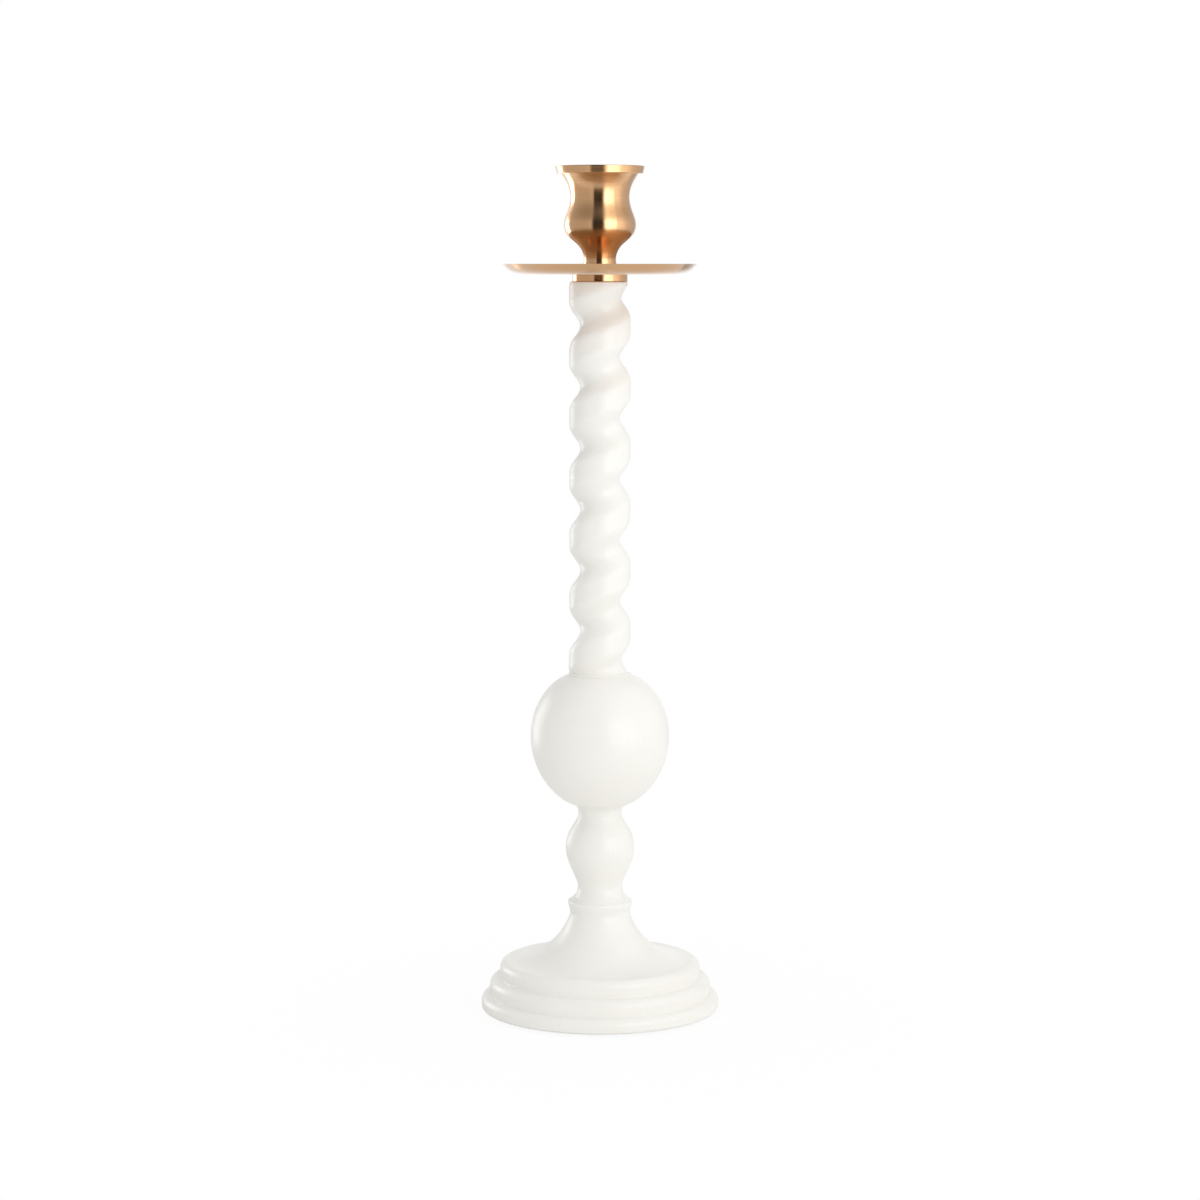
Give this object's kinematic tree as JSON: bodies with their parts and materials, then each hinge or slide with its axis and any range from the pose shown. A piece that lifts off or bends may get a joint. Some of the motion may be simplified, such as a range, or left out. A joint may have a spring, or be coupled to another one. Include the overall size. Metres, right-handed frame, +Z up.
{
  "type": "candle holder",
  "caption": "Tall candle holder for a taper candle: a turned base and ball spindle carry a column cut as one spiral, with a brass cup and drip plate screwed on top.",
  "frame": {"origin": "middle of the felt pad's underside, on the surface that the holder stands on", "axes": "+Z up along the turning axis, -Y towards the viewer of the picture, +X to the viewer's right"},
  "size_m": [0.1076, 0.1076, 0.38],
  "materials": {
    "white_lacquered_wood": "warm white satin lacquer over turned wood",
    "bare_wood": "unfinished beech dowel",
    "satin_brass": "satin brass with fine turning lines",
    "insert_brass": "plain machined brass",
    "zinc_steel": "zinc-plated steel",
    "felt": "dark grey wool felt"
  },
  "bodies": {
    "stand": {"felt_pad": "felt", "stepped_base": "white_lacquered_wood", "base_washer": "zinc_steel", "base_bolt": "zinc_steel", "spindle_insert": "insert_brass", "ball_spindle": "white_lacquered_wood", "column_dowel": "bare_wood", "spiral_column": "white_lacquered_wood", "column_insert": "insert_brass"},
    "drip_plate": {"drip_plate": "satin_brass"},
    "candle_cup": {"candle_cup": "satin_brass", "collar": "satin_brass", "cup_stud": "zinc_steel"}
  },
  "joints": [
    {"name": "plate_rise", "type": "slide", "parent": "stand", "child": "drip_plate", "axis": [0, 0, 1], "range_m": [0, 0.0101]},
    {"name": "cup_turn", "type": "hinge", "parent": "drip_plate", "child": "candle_cup", "pos_m": [0, 0, 0.334], "axis": [0, 0, 1], "range_deg": [0, 3600]}
  ],
  "couplings": [
    {"joint": "plate_rise", "follows": "cup_turn", "m_per_rad": 0.00015915}
  ]
}
